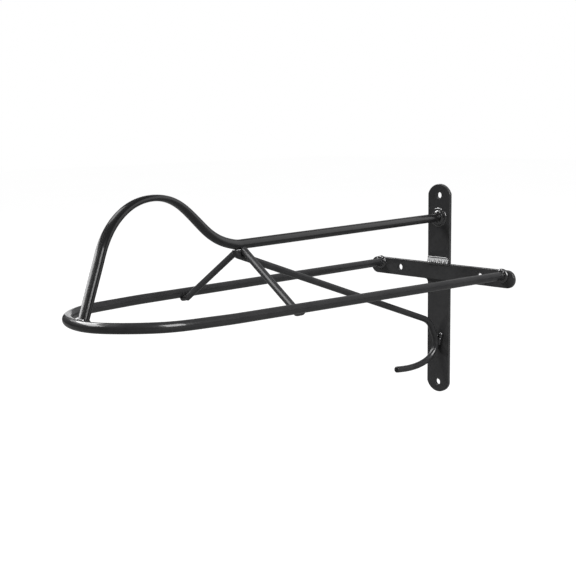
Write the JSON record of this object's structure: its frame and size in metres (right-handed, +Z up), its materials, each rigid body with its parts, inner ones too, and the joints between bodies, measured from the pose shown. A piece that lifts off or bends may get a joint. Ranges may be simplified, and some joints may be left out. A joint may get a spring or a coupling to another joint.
{
  "type": "saddle rack",
  "caption": "Wall-mounted black welded steel saddle rack with two arms, a raised front hump and a bridle hook.",
  "frame": {"origin": "on the wall plane, at the middle of the rack, level with the axes of the two saddle arms where they meet the cross strap", "axes": "+Z up, -Y out of the wall along the saddle arms, X across the rack, X = 0 the middle plane"},
  "size_m": [0.218, 0.5103, 0.2676],
  "materials": {
    "powder_coat": "gloss"
  },
  "bodies": {
    "root": {"upper_wall_strap": "powder_coat", "lower_wall_strap": "powder_coat", "cross_strap": "powder_coat", "arm_loop": "powder_coat", "top_rail": "powder_coat", "brace_hook_rod": "powder_coat", "right_strut": "powder_coat", "left_strut": "powder_coat", "weld_upper_joint": "powder_coat", "weld_lower_joint": "powder_coat", "weld_right_arm": "powder_coat", "weld_left_arm": "powder_coat", "weld_top_rail": "powder_coat", "weld_nose": "powder_coat", "weld_brace_apex": "powder_coat", "weld_right_foot": "powder_coat", "weld_left_foot": "powder_coat", "weld_hook": "powder_coat"}
  },
  "joints": []
}
